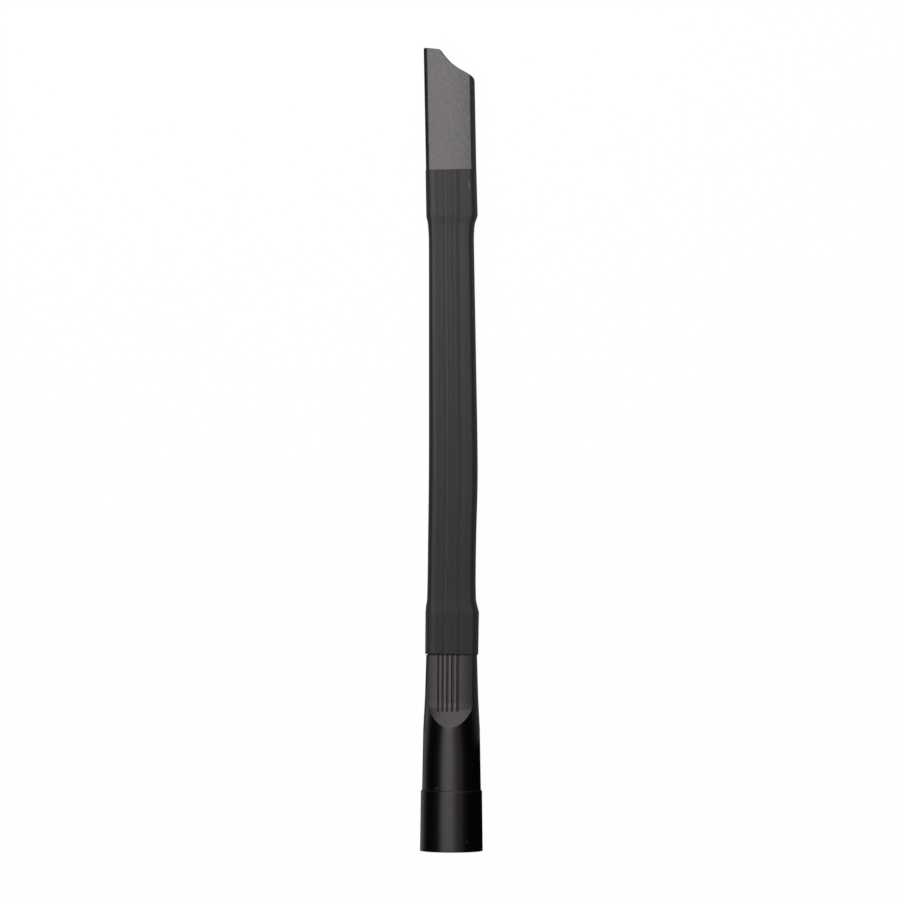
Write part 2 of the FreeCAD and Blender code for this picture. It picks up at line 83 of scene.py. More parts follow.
tip_low, tip_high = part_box("nozzle_tip")
fall = -(tip_low.z + tip_high.z) / 2 / tip_high.y
tool_line = Vector((0, 1, -fall))
upward = Vector((0, fall, 1)).normalized()
sight = (upward * math.cos(ROLL) + Vector((math.sin(ROLL), 0, 0))).normalized()
right = tool_line.cross(sight).normalized()
picture_up = sight.cross(right)
print("the tool's line falls, in degrees:", round(math.degrees(math.atan(fall)), 2))

# %% Camera
SENSOR_WIDTH = 36  # mm
CLIP_END = 50

camera = bpy.data.objects.new("camera", bpy.data.cameras.new("camera"))
bpy.context.scene.collection.objects.link(camera)
bpy.context.scene.camera = camera
camera.data.sensor_width = SENSOR_WIDTH
camera.data.lens = SENSOR_WIDTH * FAR / FIELD
camera.data.clip_end = CLIP_END
turned = Matrix((right, picture_up, sight)).transposed().to_4x4()
camera.matrix_world = Matrix.Translation(MIDDLE + sight * FAR) @ turned
print("lens in mm:", round(camera.data.lens))

# %% [markdown]
# Every colour below is written as the sRGB hex that a colour picker shows, and one function turns it
# into the linear numbers of a shader. Another adds a node, with its settings and its links. All of it
# could be done by hand in the node editor, but here each finish can be read as a list of its nodes.

# %% Colours and nodes
def linear(hex_code):
    """An sRGB colour such as #808080 as a shader's linear colour."""
    shares = [int(hex_code[digit:digit + 2], 16) / 255 for digit in (1, 3, 5)]
    channels = [
        share / 12.92 if share <= 0.04045 else ((share + 0.055) / 1.055) ** 2.4
        for share in shares
    ]
    return (*channels, 1)


def add_node(tree, kind, sockets=None, **settings):
    """Adds a node. A socket is given a number or colour, or another node's output to link."""
    node = tree.nodes.new(kind)
    for name, setting in settings.items():
        setattr(node, name, setting)
    for socket, given in (sockets or {}).items():
        if isinstance(given, bpy.types.NodeSocket):
            tree.links.new(given, node.inputs[socket])
        else:
            node.inputs[socket].default_value = given
    return node


def new_material(name):
    """An empty material with its output node."""
    material = bpy.data.materials.new(name)
    material.use_nodes = True
    material.node_tree.nodes.clear()
    return material, material.node_tree, add_node(material.node_tree, "ShaderNodeOutputMaterial")


print("black is", linear("#000000"), "and white is", linear("#ffffff"))

# %% [markdown]
# The floor is plain and white. Lamps strong enough to turn a lit floor white would wash out the tool, so
# the camera sees the floor by its own strength of 1, mixed with a little of its lit surface so that a
# faint shadow stays. To other rays it is grey, and dark to glossy ones, as it would be with black cards
# round the tool: they keep its flanks black.

# %% Finish of the floor
SHADOW_SHARE = 0.02

floor_finish, tree, output = new_material("matt_paper")
rays = add_node(tree, "ShaderNodeLightPath")
paper = add_node(
    tree,
    "ShaderNodeMix",
    {0: rays.outputs["Is Camera Ray"], 6: linear("#8c8c8c"), 7: linear("#ffffff")},
    data_type="RGBA",
)
lit = add_node(tree, "ShaderNodeBsdfDiffuse", {"Color": paper.outputs[2]})
white = add_node(tree, "ShaderNodeEmission", {"Color": linear("#ffffff"), "Strength": 1.0})
dark = add_node(tree, "ShaderNodeBsdfDiffuse", {"Color": linear("#141414")})
whiteness = add_node(
    tree, "ShaderNodeMath", {0: rays.outputs["Is Camera Ray"], 1: 1 - SHADOW_SHARE}, operation="MULTIPLY"
)
seen = add_node(
    tree,
    "ShaderNodeMixShader",
    {"Fac": whiteness.outputs[0], 1: lit.outputs[0], 2: white.outputs[0]},
)
mixed = add_node(
    tree,
    "ShaderNodeMixShader",
    {"Fac": rays.outputs["Is Glossy Ray"], 1: seen.outputs[0], 2: dark.outputs[0]},
)
tree.links.new(mixed.outputs[0], output.inputs["Surface"])
print(floor_finish.name, "nodes:", len(tree.nodes))

# %% Floor
FLOOR_SIDE = 8

bpy.ops.object.select_all(action="DESELECT")
bpy.ops.mesh.primitive_plane_add(size=FLOOR_SIDE, location=(0, MIDDLE.y, cad_low.z))
floor = bpy.context.object
floor.name = "floor"
floor.data.materials.append(floor_finish)
print("floor at z in mm:", round(cad_low.z / MM, 2))

# %% [markdown]
# The light is one large soft box over the tool, a little to its left and beyond its middle towards the
# tip. One lamp could stand for it, but a real soft box is brightest in its middle and fades outwards, so
# three lamps are nested here. A wide lamp that gloss doesn't show lifts the plain colours. A second box
# stands low beyond the tip, because only light from there can reach the camera by way of the socket's
# sloping ramp.

# %% Boxes overhead
SOFT_BOX_HEIGHT = 1.3
SOFT_BOX_ALONG = 0.47  # beyond the picture's centre, towards the tip


def light_box(name, middle, rotation, size, radiance, glossy=True):
    """A lamp whose watts follow from how bright its face looks."""
    lamp = bpy.data.lights.new(name, "AREA")
    lamp.shape = "RECTANGLE"
    lamp.size, lamp.size_y = size
    lamp.energy = radiance * math.pi * size[0] * size[1]
    box = bpy.data.objects.new(name, lamp)
    bpy.context.scene.collection.objects.link(box)
    box.rotation_euler = rotation
    box.location = middle
    box.visible_camera = False
    box.visible_glossy = glossy


def overhead(name, degrees, size, radiance, further=0.0, glossy=True):
    """A box over the tool, at degrees from straight above towards the right."""
    angle = math.radians(degrees)
    middle = MIDDLE + Vector((math.sin(angle), 0, math.cos(angle))) * (SOFT_BOX_HEIGHT + further)
    middle.y += SOFT_BOX_ALONG
    light_box(name, middle, (0, angle, 0), size, radiance, glossy)


overhead("soft_box_core", degrees=-9, size=(0.5, 0.9), radiance=2.2)
overhead("soft_box_body", degrees=-10, size=(1.2, 1.8), radiance=1.55, further=0.02)
overhead("soft_box_edge", degrees=3, size=(2.5, 2.0), radiance=0.5, further=0.04)
overhead("fill", degrees=0, size=(3.0, 3.0), radiance=0.2, further=0.06, glossy=False)

# %% Low box beyond the tip
LOW_BOX_ANGLE = math.radians(68)  # from straight above, where the ramp's reflection points
LOW_BOX_AWAY = 1.9
LOW_BOX_SIZE = (1.2, 1.2)
LOW_BOX_RADIANCE = 2.7
RAMP_ALONG = 96 * MM

low_way = Vector((0, math.sin(LOW_BOX_ANGLE), math.cos(LOW_BOX_ANGLE)))
low_middle = Vector((0, RAMP_ALONG, 0)) + low_way * LOW_BOX_AWAY
light_box("low_box", low_middle, (-LOW_BOX_ANGLE, 0, 0), LOW_BOX_SIZE, LOW_BOX_RADIANCE)
print("low box at, in m:", [round(side, 2) for side in low_middle])

# %% [markdown]
# White cards beside the tool draw the thin bright lines along its edges. Lamps could do it, but they
# would light the flats too, so the cards glow for gloss alone. Each fades away from the tool, as the
# light on a real card does.

# %% White cards
CARD_LIFT = 0.3


def white_card(name, near, far, start, end, bright):
    """A card beside the tool that only gloss shows, fading from near to far. Its sides are in mm."""
    card_finish, tree, output = new_material(name)
    spot = add_node(tree, "ShaderNodeTexCoord").outputs["Object"]
    sideways = add_node(tree, "ShaderNodeSeparateXYZ", {0: spot}).outputs["X"]
    fading = add_node(
        tree,
        "ShaderNodeMapRange",
        {"Value": sideways, "From Min": far * MM, "From Max": near * MM, "To Min": 0.0, "To Max": bright},
    )
    glow = add_node(tree, "ShaderNodeEmission", {"Strength": fading.outputs[0]})
    tree.links.new(glow.outputs[0], output.inputs["Surface"])
    bpy.ops.object.select_all(action="DESELECT")
    middle = Vector(((near + far) / 2, (start + end) / 2, CARD_LIFT)) * MM
    bpy.ops.mesh.primitive_plane_add(size=MM, location=middle + Vector((0, 0, cad_low.z)))
    card = bpy.context.object
    card.name = name
    card.scale = (abs(near - far), end - start, 1)
    bpy.ops.object.transform_apply(location=True, scale=True)
    card.data.materials.append(card_finish)
    card.visible_camera = False
    card.visible_diffuse = False
    card.visible_shadow = False
    return card


left_card = white_card("left_card", near=-36, far=-120, start=-60, end=175, bright=0.5)
right_card = white_card("right_card", near=18, far=120, start=75, end=600, bright=0.16)
print("cards in mm:", [[round(side / MM) for side in card.dimensions] for card in (left_card, right_card)])

# %% [markdown]
# Past the floor's edge the camera should find the same white, but the tool shouldn't be lit by it. A
# larger floor could hide the edge. Here the world tells the camera's rays from all others, which see
# almost nothing. The Standard view then shows each colour about as it is written.

# %% World
GLIMMER = 0.01  # strength of the world for all but the camera

world = bpy.data.worlds.new("studio")
world.use_nodes = True
bpy.context.scene.world = world
tree = world.node_tree
tree.nodes.clear()
rays = add_node(tree, "ShaderNodeLightPath")
glimmer = add_node(tree, "ShaderNodeBackground", {"Color": linear("#ffffff"), "Strength": GLIMMER})
white = add_node(tree, "ShaderNodeBackground", {"Color": linear("#ffffff"), "Strength": 1.0})
mixed = add_node(
    tree,
    "ShaderNodeMixShader",
    {"Fac": rays.outputs["Is Camera Ray"], 1: glimmer.outputs[0], 2: white.outputs[0]},
)
add_node(tree, "ShaderNodeOutputWorld", {"Surface": mixed.outputs[0]})
bpy.context.scene.view_settings.view_transform = "Standard"
print("view transform:", bpy.context.scene.view_settings.view_transform)

# %% [markdown]
# The sleeve is one length of extruded soft rubber, stretched at both ends over a spigot. A box could be
# subdivided and pulled into its cuffs, but a die gives it one section all along, with fine lines on its
# flats, so it is drawn as one outline and then extruded ring by ring. Each ring takes the width,
# thickness and place of its station on the tool's centreline, on a smooth curve through the stations.

# %% Stations of the sleeve
# In mm, as in the solids.
LENGTHS = {"connector": 136.8, "lower_spigot": 30, "sleeve": 339.4, "upper_spigot": 32.5, "lead_in": 0.8}
LOWER_END = LENGTHS["connector"] + LENGTHS["lower_spigot"]
TIP_ALONG = LENGTHS["connector"] + LENGTHS["sleeve"]
UPPER_END = TIP_ALONG - LENGTHS["upper_spigot"]
CORNERS = (LOWER_END, UPPER_END)

# Along the centreline from the socket's mouth, half width, half thickness, to the right, lean in degrees.
STATIONS = (
    (137.15, 18.6, 9.8, 0, -0.85),
    (LOWER_END, 18.75, 9.95, 0.35, 0),
    (171.1, 17.95, 9.4, -0.05, 0),
    (175, 17.22, 8.97, -0.15, 0),
    (182.4, 16.98, 8.7, -0.15, 0),
    (190.8, 16.86, 8.6, -0.1, 0),
    (217, 16.87, 8.6, 0.2, 0),
    (264.8, 17.14, 8.6, 0.98, 0),
    (345.8, 16.5, 8.6, 0.43, 0),
    (427.7, 15.8, 8.6, -0.25, 0),
    (433.3, 16.03, 8.65, -0.28, 0.34),
    (438.3, 16.5, 8.79, -0.2, 0.65),
    (440.8, 17.15, 9.01, 0.05, 0.8),
    (UPPER_END, 18, 9.3, 0.22, 0.98),
    (TIP_ALONG, 17.8, 9.15, -0.45, 0.98),
)
print("stations:", len(STATIONS), "from", STATIONS[0][0], "to", round(TIP_ALONG, 1))

# %% Between the stations
def between(along):
    """The station at a length between the given ones, on a smooth curve through them."""
    index = max(number for number, station in enumerate(STATIONS[:-1]) if station[0] <= along)
    start, finish = STATIONS[index], STATIONS[index + 1]
    before = STATIONS[index - 1] if start[0] not in CORNERS and index else start
    after = STATIONS[index + 2] if finish[0] not in CORNERS and index + 2 < len(STATIONS) else finish
    run = finish[0] - start[0]
    share = (along - start[0]) / run
    values = []
    for part in range(1, len(start)):
        leave = (finish[part] - before[part]) / (finish[0] - before[0]) * run
        arrive = (after[part] - start[part]) / (after[0] - start[0]) * run
        step = finish[part] - start[part]
        values.append(
            start[part] + share * leave
            + share**2 * (3 * step - 2 * leave - arrive)
            + share**3 * (leave + arrive - 2 * step)
        )
    return values


print("half width, half thickness, to the right, lean at 300:", [round(value, 2) for value in between(300)])

# %% Centreline
mount_axis = Vector(frame["record"]["mounts"][0]["axis"])
BEND = math.atan2(mount_axis.z, -mount_axis.y)
FREE_RUN = UPPER_END - LOWER_END


def slope_at(along):
    """How far the centreline falls, in radians: all of the bend on the connector, none on the tip."""
    return BEND * min(max(1 - (along - LOWER_END) / FREE_RUN, 0), 1)


def centre_at(along, aside):
    """The place on the centreline: straight on the connector, then an even arc, then level."""
    slope = slope_at(along)
    straight = min(along, LOWER_END) - LENGTHS["lead_in"]
    arc = FREE_RUN / BEND
    level = max(along - UPPER_END, 0)
    forward = straight * math.cos(BEND) + arc * (math.sin(BEND) - math.sin(slope)) + level
    height = -straight * math.sin(BEND) - arc * (math.cos(slope) - math.cos(BEND))
    return Vector((aside, forward, height)) * MM


print("bend in degrees:", round(math.degrees(BEND), 2), "and bare run in mm:", round(FREE_RUN, 1))
print("the tip starts at, in mm:", [round(side / MM, 2) for side in centre_at(TIP_ALONG, 0)])

# %% [markdown]
# The outline is two flats with fine lines, two round sides and a small round between them. A curve could
# hold it, but the number of its points is hard to keep the same on every round. So it is drawn in edit
# mode with a pen that starts at one point, extrudes it along a line and spins it round an arc.

# %% A pen that draws in edit mode
def pen_down(spot):
    """Starts a mesh from one point: a plane whose corners are merged."""
    bpy.ops.object.select_all(action="DESELECT")
    bpy.ops.mesh.primitive_plane_add(size=MM, location=spot)
    bpy.ops.object.transform_apply(location=True)
    bpy.ops.object.mode_set(mode="EDIT")
    bpy.ops.mesh.select_all(action="SELECT")
    bpy.ops.mesh.merge(type="CENTER")
    return bpy.context.object


def pen_line(step):
    """Draws a straight stroke from the selected point."""
    bpy.ops.mesh.extrude_region_move(TRANSFORM_OT_translate={"value": step})


def pen_arc(centre, angle, steps):
    """Draws an arc from the selected point, anticlockwise as seen from the socket."""
    bpy.ops.mesh.spin(steps=steps, angle=angle, center=centre, axis=(0, 1, 0))


print("the pen: pen_down, pen_line, pen_arc")

# %% Fine lines of a flat
CROWN = 0.15  # the flats are lower by this much at their long edges

# Place across the flat, and height against its middle, in mm.
LINES = (
    (10, -0.06),
    (6.3, -0.4),
    (5.2, -0.02),
    (2.6, 0),
    (2.1, -0.16),
    (1.6, 0),
    (-1.4, 0),
    (-1.9, -0.16),
    (-2.4, 0),
    (-3.2, 0),
    (-4.1, -0.25),
    (-5.3, 0),
    (-8.4, 0),
    (-8.9, -0.08),
    (-9.4, 0),
    (-12.2, 0),
)


def pen_flat(half_flat, way):
    """Draws a flat with its fine lines, to the left on top and to the right below."""
    points = [(across, height + CROWN) for across, height in LINES]
    points.append((-half_flat, 0))
    last_across, last_height = half_flat, 0
    for across, height in points:
        pen_line((way * (across - last_across) * MM, 0, way * (height - last_height) * MM))
        last_across, last_height = across, height


print("points given for a flat:", len(LINES))

# %% Draw the sleeve's outline
EDGE_ROUND = 2.6  # radius between a flat and a round side
SIDE_STEPS = 16
EDGE_STEPS = 6
SAME_POINT = 0.01  # points nearer than this are merged

half_width, half_thickness, _, _ = between(STATIONS[0][0])
half_thickness -= CROWN
edge_x = math.sqrt((half_width - EDGE_ROUND) ** 2 - (half_thickness - EDGE_ROUND) ** 2)
edge_z = half_thickness - EDGE_ROUND
turn = math.atan2(edge_z, edge_x)
corner_turn = math.pi / 2 - turn

sleeve = pen_down((half_width * math.cos(turn) * MM, 0, -half_width * math.sin(turn) * MM))
sleeve.name = "soft_sleeve"
pen_arc((0, 0, 0), 2 * turn, SIDE_STEPS)
pen_arc((edge_x * MM, 0, edge_z * MM), corner_turn, EDGE_STEPS)
pen_flat(edge_x, 1)
pen_arc((-edge_x * MM, 0, edge_z * MM), corner_turn, EDGE_STEPS)
pen_arc((0, 0, 0), 2 * turn, SIDE_STEPS)
pen_arc((-edge_x * MM, 0, -edge_z * MM), corner_turn, EDGE_STEPS)
pen_flat(edge_x, -1)
pen_arc((edge_x * MM, 0, -edge_z * MM), corner_turn, EDGE_STEPS)
bpy.ops.mesh.select_all(action="SELECT")
bpy.ops.mesh.remove_doubles(threshold=SAME_POINT * MM)
bpy.ops.object.mode_set(mode="OBJECT")
print("points in the outline:", len(sleeve.data.vertices), "edges:", len(sleeve.data.edges))

# %% [markdown]
# The outline now becomes the outer skin. A curve with a taper could sweep it, but a taper changes width
# and thickness alike. Here each ring is extruded in place, set upright, moved to its station, resized to
# its own width and thickness, and then tilted square to the centreline.

# %% Lengths of the rings
RING_STEP = 2

alongs = [STATIONS[0][0]]
for station in STATIONS[1:]:
    start = alongs[-1]
    rings = math.ceil((station[0] - start) / RING_STEP)
    alongs += [start + (station[0] - start) * (ring + 1) / rings for ring in range(rings)]
print("rings:", len(alongs))

# %% Extrude the outline along the tool
def turn_ring(axis, angle, centre):
    """Turns the selected ring about its centre. Without a window the operator turns the other way."""
    bpy.ops.transform.rotate(value=-angle, orient_axis=axis, center_override=centre)


bpy.ops.object.mode_set(mode="EDIT")
bpy.ops.mesh.select_all(action="SELECT")
here = Vector((0, 0, 0))
size = (half_width, half_thickness)
tilt = (0, 0)
for number, along in enumerate(alongs):
    width, thickness, aside, lean = between(along)
    thickness -= CROWN
    there = centre_at(along, aside)
    if number:
        bpy.ops.mesh.extrude_region_move()
        turn_ring("Z", -tilt[1], here)
        turn_ring("X", -tilt[0], here)
    bpy.ops.transform.translate(value=there - here)
    bpy.ops.transform.resize(value=(width / size[0], 1, thickness / size[1]), center_override=there)
    tilt = (-slope_at(along), math.radians(lean))
    turn_ring("X", tilt[0], there)
    turn_ring("Z", tilt[1], there)
    here, size = there, (width, thickness)
bpy.ops.mesh.select_all(action="SELECT")
bpy.ops.mesh.normals_make_consistent(inside=False)
bpy.ops.object.mode_set(mode="OBJECT")
low = [min(vertex.co[axis] for vertex in sleeve.data.vertices) / MM for axis in range(3)]
high = [max(vertex.co[axis] for vertex in sleeve.data.vertices) / MM for axis in range(3)]
print("sleeve from", [round(side, 2) for side in low], "to", [round(side, 2) for side in high])

# %% [markdown]
# The real tube has a wall, which shows at its ends. Its inside could be drawn as a second outline, but
# Solidify gives the skin the same wall inwards all over. A small bevel rounds the cut ends, and smooth
# shading stops at the sharper edges.

# %% Give it its wall and round its ends
WALL = 1.8
END_ROUND = 0.4
END_ROUND_STEPS = 3
CUT_EDGE = math.radians(60)  # only edges sharper than this are rounded
SMOOTH_BELOW = math.radians(40)

wall = sleeve.modifiers.new("wall", "SOLIDIFY")
wall.thickness = WALL * MM
wall.offset = -1
wall.use_even_offset = True
bpy.context.view_layer.objects.active = sleeve
bpy.ops.object.modifier_apply(modifier="wall")
rounding = sleeve.modifiers.new("end_rounding", "BEVEL")
rounding.width = END_ROUND * MM
rounding.segments = END_ROUND_STEPS
rounding.limit_method = "ANGLE"
rounding.angle_limit = CUT_EDGE
bpy.ops.object.modifier_apply(modifier="end_rounding")
bpy.ops.object.shade_smooth_by_angle(angle=SMOOTH_BELOW)
print("faces of the sleeve:", len(sleeve.data.polygons))

# %% [markdown]
# Stripes of painted highlight and shade run along the sleeve, where the light catches the die's fine
# lines and the round of its edges, and they follow its sideways bow. Object coordinates could place
# them, but they don't bow. So each point keeps its own place across the sleeve, in mm, as an attribute
# that the finish reads.

# %% Keep each point's place across the sleeve
ring_forward = [centre_at(along, 0).y for along in alongs]
ring_aside = [between(along)[2] for along in alongs]
across_sleeve = sleeve.data.attributes.new("across", "FLOAT", "POINT")
for vertex, kept in zip(sleeve.data.vertices, across_sleeve.data):
    ring = min(bisect.bisect(ring_forward, vertex.co.y), len(alongs) - 1)
    kept.value = vertex.co.x / MM - ring_aside[ring]
print("across from", round(min(kept.value for kept in across_sleeve.data), 1))

# %% Put the sleeve in its node's place
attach(sleeve, "root")
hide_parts("flexible_sleeve")
print(sleeve.name, "takes the place of its solid")

# %% [markdown]
# The finishes are built from small helpers that take real millimetres. Image textures could carry the
# same marks, but these patterns need no picture and have no seams. Clouds are the soft mottle of a
# moulded skin, and grain is the fine bump of the mould's surface.

# %% Mottle and grain
NOISE_LOW, NOISE_HIGH = 0.3, 0.7  # most of a noise lies between these


def factor(tree, noise, amount):
    """A noise as a factor round 1."""
    return add_node(
        tree,
        "ShaderNodeMapRange",
        {
            "Value": noise,
            "From Min": NOISE_LOW,
            "From Max": NOISE_HIGH,
            "To Min": 1 - amount,
            "To Max": 1 + amount,
        },
    ).outputs[0]


def clouds(tree, spot, spacing, amount):
    """A mottle whose spots are this far apart."""
    noise = add_node(
        tree, "ShaderNodeTexNoise", {"Vector": spot, "Scale": 1 / (spacing * MM), "Detail": 3.0}
    )
    return factor(tree, noise.outputs["Fac"], amount)


def grain(tree, spot, spacing, depth):
    """Fine bumps of a spark-eroded or blasted mould."""
    noise = add_node(
        tree, "ShaderNodeTexNoise", {"Vector": spot, "Scale": 1 / (spacing * MM), "Detail": 2.0}
    )
    bump = add_node(tree, "ShaderNodeBump", {"Height": noise.outputs["Fac"], "Distance": depth * MM})
    return bump.outputs[0]


print("helpers: clouds, grain")

# %% [markdown]
# Moulded flats are very slightly crowned, too little to model but enough for gloss to show, so a helper
# tilts the surface by a bump. Another gives grooves and inner corners a value of their own, because they
# are duller than open faces. Painting them by hand would need an unwrapped surface.

# %% Crown and shelter
DROP_AT = 10  # mm from the middle, where a crown's drop is measured
SHELTERED, OPEN = 0.45, 0.9  # shares of the rays round a point that get away
SHELTER_RAYS = 8


def crown(tree, spot, drop, normal, begins, full):
    """Tilts the surface as on a slightly crowned flat. It begins and is full at places along the tool."""
    sides = add_node(tree, "ShaderNodeSeparateXYZ", {0: spot})
    share = add_node(
        tree, "ShaderNodeMath", {0: sides.outputs["X"], 1: 1 / (DROP_AT * MM)}, operation="MULTIPLY"
    ).outputs[0]
    square = add_node(tree, "ShaderNodeMath", {0: share, 1: share}, operation="MULTIPLY").outputs[0]
    growing = add_node(
        tree,
        "ShaderNodeMapRange",
        {"Value": sides.outputs["Y"], "From Min": begins * MM, "From Max": full * MM},
    ).outputs[0]
    height = add_node(tree, "ShaderNodeMath", {0: square, 1: growing}, operation="MULTIPLY").outputs[0]
    bump = add_node(
        tree,
        "ShaderNodeBump",
        {"Height": height, "Distance": drop * MM, "Normal": normal},
        invert=True,
    )
    return bump.outputs[0]


def sheltered(tree, reach, sheltered_value, open_value):
    """One value in grooves and corners of this reach in mm, and another in the open."""
    shelter = add_node(
        tree, "ShaderNodeAmbientOcclusion", {"Distance": reach * MM}, samples=SHELTER_RAYS
    )
    return add_node(
        tree,
        "ShaderNodeMapRange",
        {
            "Value": shelter.outputs["AO"],
            "From Min": SHELTERED,
            "From Max": OPEN,
            "To Min": sheltered_value,
            "To Max": open_value,
        },
    ).outputs[0]


print("helpers: crown, sheltered")

# %% [markdown]
# Small pale marks are a few rubs of wear, and on the connector a few painted highlights. They could be
# painted on an image, but a mask round one place, broken up by a fine noise, is enough for each. The
# helper after it lays the masks over the plain colour.

# %% Rubs, painted highlights and colour
MARK_ENDS, MARK_FULL = 1.5, 0.9  # in shares of a mark's reach, with the noise added
MARK_NOISE = 0.4


def scuff_and_highlight(tree, spot, centre, reach, lean=0.0):
    """A mask round a place, of this reach to each side, broken up by a fine noise, for a rub of wear and
    for a painted highlight.
    """
    near = add_node(
        tree,
        "ShaderNodeMapping",
        {
            "Vector": spot,
            "Location": [side * MM for side in centre],
            "Rotation": (0, 0, math.radians(lean)),
            "Scale": [side * MM for side in reach],
        },
        vector_type="TEXTURE",
    )
    away = add_node(tree, "ShaderNodeVectorMath", {0: near.outputs[0]}, operation="LENGTH")
    noise = add_node(tree, "ShaderNodeTexNoise", {"Vector": spot, "Scale": 1 / (MARK_NOISE * MM)})
    rough = add_node(
        tree, "ShaderNodeMath", {0: away.outputs["Value"], 1: noise.outputs["Fac"]}, operation="ADD"
    )
    return add_node(
        tree,
        "ShaderNodeMapRange",
        {"Value": rough.outputs[0], "From Min": MARK_ENDS, "From Max": MARK_FULL},
    ).outputs[0]


def tinted(tree, colour, factors, marks=(), mark_colour="#8c8a89"):
    """A colour times its factors, with each mark laid over it."""
    tone = linear(colour)
    for number in factors:
        tone = add_node(
            tree, "ShaderNodeMix", {0: 1.0, 6: tone, 7: number}, data_type="RGBA", blend_type="MULTIPLY"
        ).outputs[2]
    for mask in marks:
        tone = add_node(
            tree, "ShaderNodeMix", {0: mask, 6: tone, 7: linear(mark_colour)}, data_type="RGBA"
        ).outputs[2]
    return tone


def dress(piece, finish):
    """Gives a piece one material all over."""
    piece.data.materials.clear()
    piece.data.materials.append(finish)


print("helpers: scuff, tinted, dress")

# %% [markdown]
# The connector is injection-moulded black ABS from a finely blasted mould, so it is satin: its round
# parts show the soft box as one broad band that fades to deep black at both sides. A plain black would
# do from afar, but near by it needs its grain, drawn coarser than it is so that it shows, and its duller
# grooves. It carries a few pale specks where the grooves run out, which are painted highlights where
# the grooves' floors turn up to the light, and faint rubs of wear near the collar.

# %% Black ABS
# Where each mark is, and how far it reaches to each side, in mm. The first three are painted highlights
# where the grooves run out, and the last two are rubs.
HIGHLIGHTS_AND_RUBS = (
    ((-5.6, 99.5, 13.0), (0.35, 0.4, 3)),
    ((-2.3, 99.5, 13.0), (0.35, 0.4, 3)),
    ((-13.6, 103.6, 12.0), (0.3, 0.3, 3)),
    ((-8.9, 44.5, 17.0), (1.4, 0.3, 4)),
    ((12.0, 7.4, 16.0), (0.5, 0.7, 4)),
)
MARK_LEAN = 20

black_abs, tree, output = new_material("black_abs_satin")
spot = add_node(tree, "ShaderNodeTexCoord").outputs["Object"]
mottle = [clouds(tree, spot, spacing=1.8, amount=0.25)]
# pale marks: painted highlights at the grooves' ends, and rubs of wear
marks = [scuff_and_highlight(tree, spot, centre, reach, MARK_LEAN) for centre, reach in HIGHLIGHTS_AND_RUBS]
blasted = grain(tree, spot, spacing=0.9, depth=0.09)
# The crown grows over the cone and is full on the grip face.
shader = add_node(
    tree,
    "ShaderNodeBsdfPrincipled",
    {
        "Base Color": tinted(tree, "#040304", mottle, marks, "#525050"),
        "Roughness": sheltered(tree, reach=1.6, sheltered_value=0.85, open_value=0.3),
        "IOR": 1.5,
        "Specular Tint": linear("#fff5fa"),
        "Normal": crown(tree, spot, drop=0.8, normal=blasted, begins=65, full=105),
    },
)
tree.links.new(shader.outputs[0], output.inputs["Surface"])
dress(frame["nodes"]["connector"], black_abs)
print(black_abs.name, "nodes:", len(tree.nodes))

# %% [markdown]
# The tip is ABS too, dyed dark grey and moulded in a spark-eroded mould. The grain makes it matt, and
# its skin is mottled in spots of 1 to 3 mm. Displacement could carry the grain, but it is finer than the
# mesh, so it is a bump, again drawn coarser than it is.

# %% Grained grey ABS
grey_abs, tree, output = new_material("dark_grey_abs_grained")
spot = add_node(tree, "ShaderNodeTexCoord").outputs["Object"]
mottle = [clouds(tree, spot, spacing=2.4, amount=0.35), clouds(tree, spot, spacing=0.9, amount=0.5)]
eroded = grain(tree, spot, spacing=0.9, depth=0.14)
# The crown is full before the visible tip begins, so it is the same all over it.
shader = add_node(
    tree,
    "ShaderNodeBsdfPrincipled",
    {
        "Base Color": tinted(tree, "#302f30", mottle),
        "Roughness": 0.38,
        "IOR": 1.5,
        "Specular IOR Level": 0.77,
        "Specular Tint": linear("#fff8fc"),
        "Normal": crown(tree, spot, drop=0.3, normal=eroded, begins=400, full=410),
    },
)
tree.links.new(shader.outputs[0], output.inputs["Surface"])
dress(frame["nodes"]["nozzle_tip"], grey_abs)
print(grey_abs.name, "nodes:", len(tree.nodes))

# %% [markdown]
# The sleeve is extruded soft rubber, charcoal and duller than the mouldings, with a faint bloom that
# lightens its flanks. Paler and darker stripes along it are painted highlight and shade, where the light
# catches the die's fine lines and the round of its edges, and the die draws finer streaks between them.
# A noise could draw both, but the stripes lie at known places, so a ramp across the sleeve holds them.

# %% Streaks of the die, and stripes of painted highlight and shade
def streaks(tree, spot, spacing, length, amount):
    """Lengthwise streaks, this far apart and this long."""
    stretched = add_node(
        tree,
        "ShaderNodeMapping",
        {"Vector": spot, "Scale": (1 / (spacing * MM), 1 / (length * MM), 1 / (spacing * MM))},
    )
    noise = add_node(
        tree, "ShaderNodeTexNoise", {"Vector": stretched.outputs[0], "Scale": 1.0, "Detail": 2.0}
    )
    return factor(tree, noise.outputs["Fac"], amount)


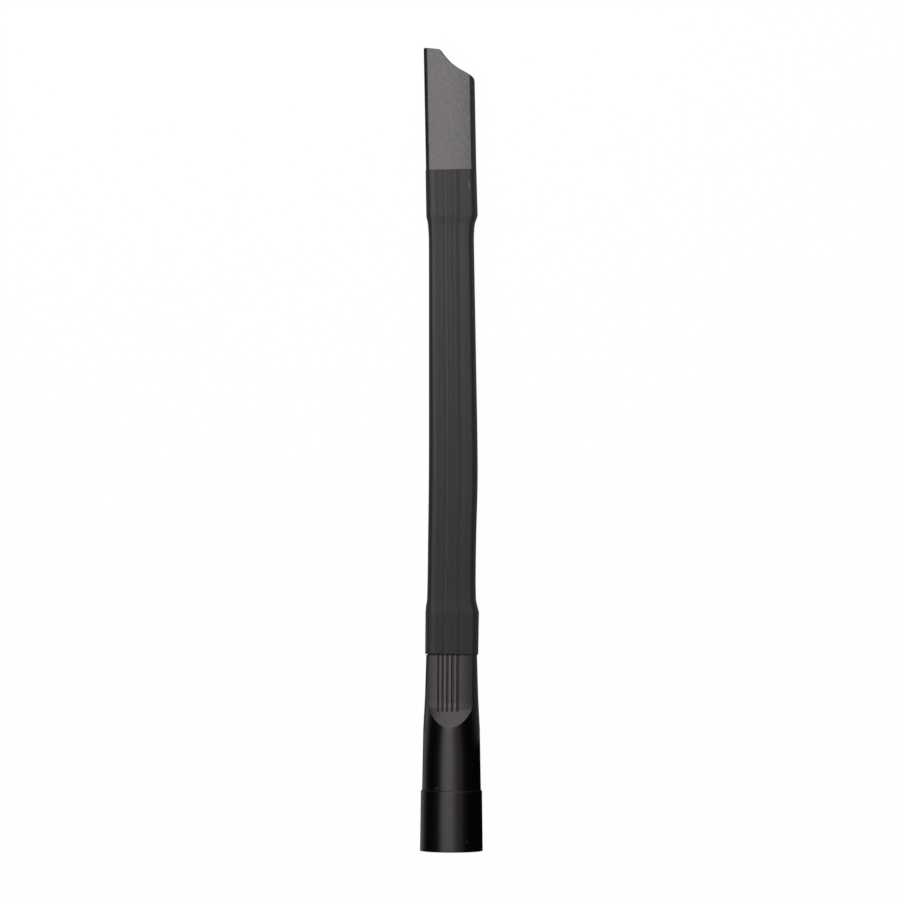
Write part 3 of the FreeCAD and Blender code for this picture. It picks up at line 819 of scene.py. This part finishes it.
def stripes(tree, bands, reach):
    """A factor of painted highlight and shade in bands along the sleeve, on a ramp that reaches this far to
    both sides, in mm.
    """
    across = add_node(tree, "ShaderNodeAttribute", attribute_name="across").outputs["Fac"]
    share = add_node(
        tree, "ShaderNodeMapRange", {"Value": across, "From Min": -reach, "From Max": reach}
    ).outputs[0]
    ramp = add_node(tree, "ShaderNodeValToRGB", {"Fac": share})
    stops = []
    for middle, half, strength in bands:
        stops += [(middle - half, 1), (middle, strength), (middle + half, 1)]
    strongest = max(strength for _, _, strength in bands)
    while len(ramp.color_ramp.elements) < len(stops):
        ramp.color_ramp.elements.new(1)
    for element, (middle, strength) in zip(ramp.color_ramp.elements, stops):
        element.position = 0.5 + middle / (2 * reach)
        element.color = (*[strength / strongest] * 3, 1)
    return add_node(
        tree, "ShaderNodeMath", {0: ramp.outputs["Color"], 1: strongest}, operation="MULTIPLY"
    ).outputs[0]


print("helpers: streaks, stripes")

# %% Change along the sleeve
SOCKET_SIDE_UNTIL, TIP_SIDE_FROM = 190, 420  # mm along the tool


def lengthwise(tree, spot, socket_value, tip_value):
    """A value that changes along the sleeve: it is duller towards the socket, and in the colour it is
    painted shade, a little darker where the soft box's light falls off towards the socket.
    """
    forward = add_node(tree, "ShaderNodeSeparateXYZ", {0: spot}).outputs["Y"]
    return add_node(
        tree,
        "ShaderNodeMapRange",
        {
            "Value": forward,
            "From Min": SOCKET_SIDE_UNTIL * MM,
            "From Max": TIP_SIDE_FROM * MM,
            "To Min": socket_value,
            "To Max": tip_value,
        },
    ).outputs[0]


print("the finish changes over, in mm:", TIP_SIDE_FROM - SOCKET_SIDE_UNTIL)

# %% [markdown]
# The streaks stand 1.1 mm apart and run on for about 90 mm. On the real rubber they and the grain are
# finer, so both are drawn as coarse as they need to show. One pale rub shows on the right of the upper
# cuff. It could be a dent in the mesh, but only its colour differs, so it is a mark in the finish.

# %% Charcoal rubber
# Middle of each stripe across the sleeve and its half width, in mm, and its strength against the rubber. A
# strength above 1 is a painted highlight and one below 1 is painted shade, where the light falls on the
# die's fine lines and the rounded edges.
LIGHT_AND_SHADE_STRIPES = (
    (-12.3, 1.7, 1.8),
    (-8.2, 1.2, 1.05),
    (-4.8, 0.6, 0.9),
    (-3.4, 0.6, 1.7),
    (-0.6, 0.9, 0.93),
    (1.8, 1.0, 1.1),
    (4.4, 0.8, 0.92),
    (7.1, 1.5, 1.2),
    (11.0, 2.3, 0.8),
)

rubber, tree, output = new_material("charcoal_rubber_extruded")
spot = add_node(tree, "ShaderNodeTexCoord").outputs["Object"]
rub = scuff_and_highlight(tree, spot, centre=(12.8, 464, -5), reach=(0.22, 3.6, 3), lean=4)
tones = [
    # painted highlight and shade where the light catches the die's lines and edges
    stripes(tree, LIGHT_AND_SHADE_STRIPES, reach=20),
    streaks(tree, spot, spacing=1.1, length=90, amount=0.12),
    clouds(tree, spot, spacing=1.6, amount=0.08),
    # painted shade: a little darker towards the socket, where the soft box's light falls off
    lengthwise(tree, spot, socket_value=0.82, tip_value=0.98),
]
shader = add_node(
    tree,
    "ShaderNodeBsdfPrincipled",
    {
        "Base Color": tinted(tree, "#292829", tones, [rub], "#807e7d"),
        "Roughness": lengthwise(tree, spot, socket_value=0.5, tip_value=0.37),
        "IOR": 1.52,
        "Specular IOR Level": 0.18,
        "Sheen Weight": 0.08,
        "Sheen Roughness": 0.5,
        "Specular Tint": linear("#fff8fc"),
        "Normal": grain(tree, spot, spacing=0.6, depth=0.015),
    },
)
tree.links.new(shader.outputs[0], output.inputs["Surface"])
dress(sleeve, rubber)
print(rubber.name, "nodes:", len(tree.nodes))
